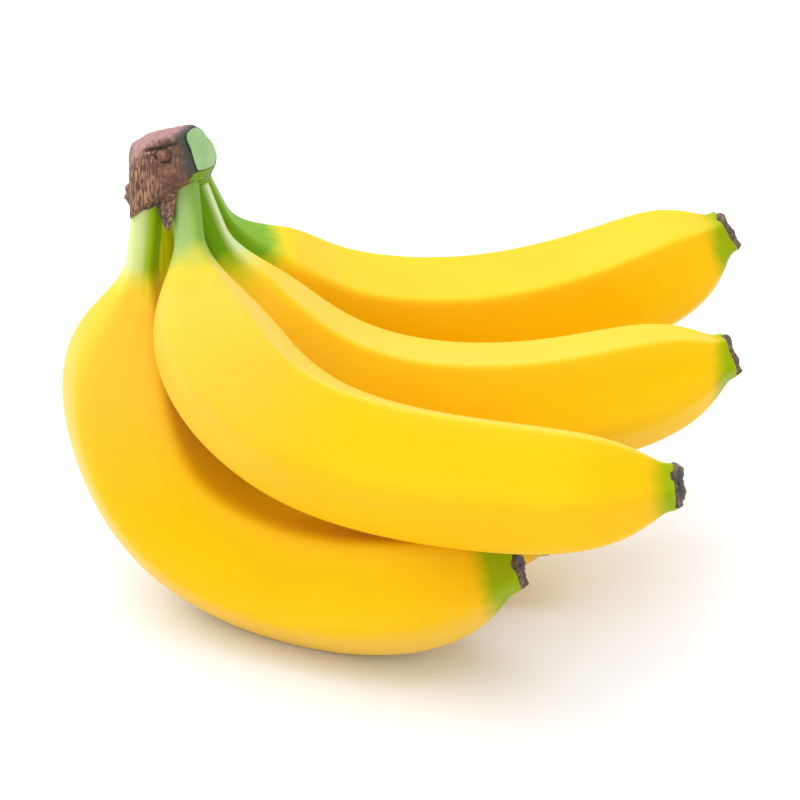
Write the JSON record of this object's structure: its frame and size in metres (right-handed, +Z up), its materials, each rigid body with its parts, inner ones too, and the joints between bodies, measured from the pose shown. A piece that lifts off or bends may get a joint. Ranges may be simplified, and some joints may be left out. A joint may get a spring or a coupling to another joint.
{
  "type": "bunch of bananas",
  "caption": "Bunch of ripe bananas joined at one dry brown crown, lying on its side with green stalks, green tips and dark flower scars.",
  "frame": {"origin": "on the surface that the bunch lies on, under the middle of its box", "axes": "+Z up, +X from the crown towards the tips, -Y towards the side that the picture shows"},
  "size_m": [0.1984, 0.155, 0.1385],
  "materials": {
    "crown_bark": "dry corky bark, matte",
    "banana_peel": "smooth satin fruit skin, green at the stalk and tip",
    "dry_flower": "dry and ragged, matte"
  },
  "bodies": {
    "root": {"crown": "crown_bark", "banana_1_lower": "banana_peel", "banana_2_front": "banana_peel", "banana_3_middle": "banana_peel", "banana_4_back": "banana_peel", "banana_5_under": "banana_peel", "flower_scar_1": "dry_flower", "flower_scar_2": "dry_flower", "flower_scar_3": "dry_flower", "flower_scar_4": "dry_flower", "flower_scar_5": "dry_flower"}
  },
  "joints": []
}
